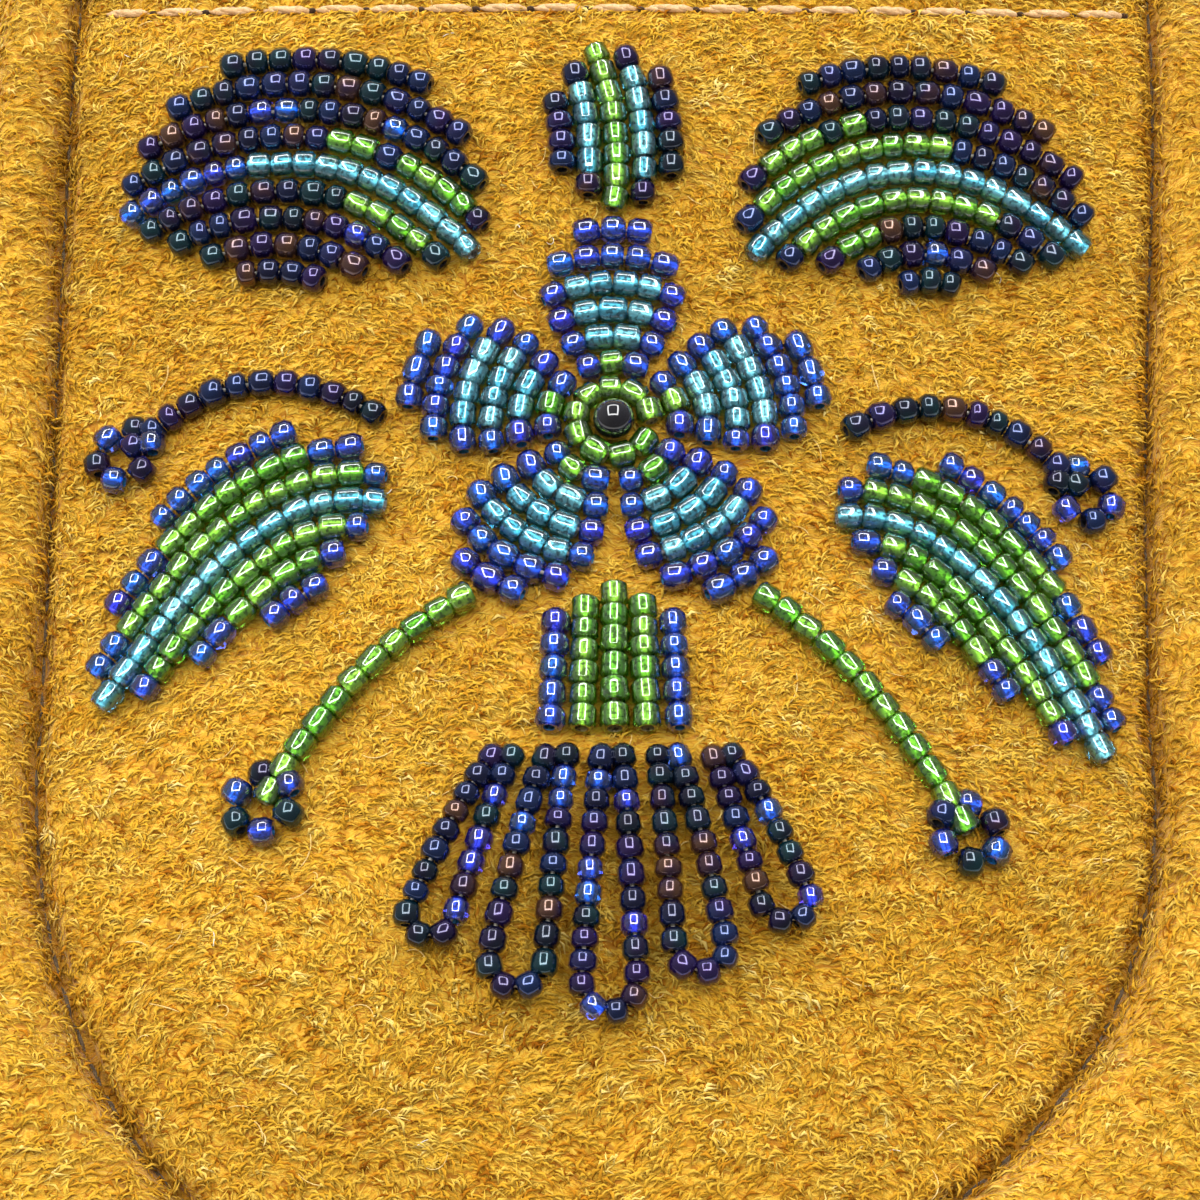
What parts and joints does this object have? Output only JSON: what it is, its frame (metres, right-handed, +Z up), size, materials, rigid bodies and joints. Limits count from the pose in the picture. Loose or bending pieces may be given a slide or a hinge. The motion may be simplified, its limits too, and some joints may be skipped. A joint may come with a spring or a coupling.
{
  "type": "beaded moccasin",
  "caption": "Soft golden suede moccasin with a U-shaped vamp for beadwork, a stitched-on tongue, thin insole and flat leather outsole; an open, hollow left shoe.",
  "frame": {"origin": "on the floor under the middle of the shoe's box", "axes": "+Z up, the toe along -Y, the heel along +Y, the inner side of the foot at -X"},
  "size_m": [0.1044, 0.2568, 0.0917],
  "materials": {
    "suede": "golden yellow napped suede, matte, with a long matted nap",
    "sole_leather": "brown sole leather, smooth worn edge",
    "insole_leather": "thin natural leather, matte",
    "glass_beads": "small glass beads, glossy, some silver lined and some with an iris coat",
    "thread": "twisted sewing thread"
  },
  "bodies": {
    "root": {"upper": "suede", "tongue": "suede", "insole": "insole_leather", "outsole": "sole_leather"}
  },
  "joints": []
}
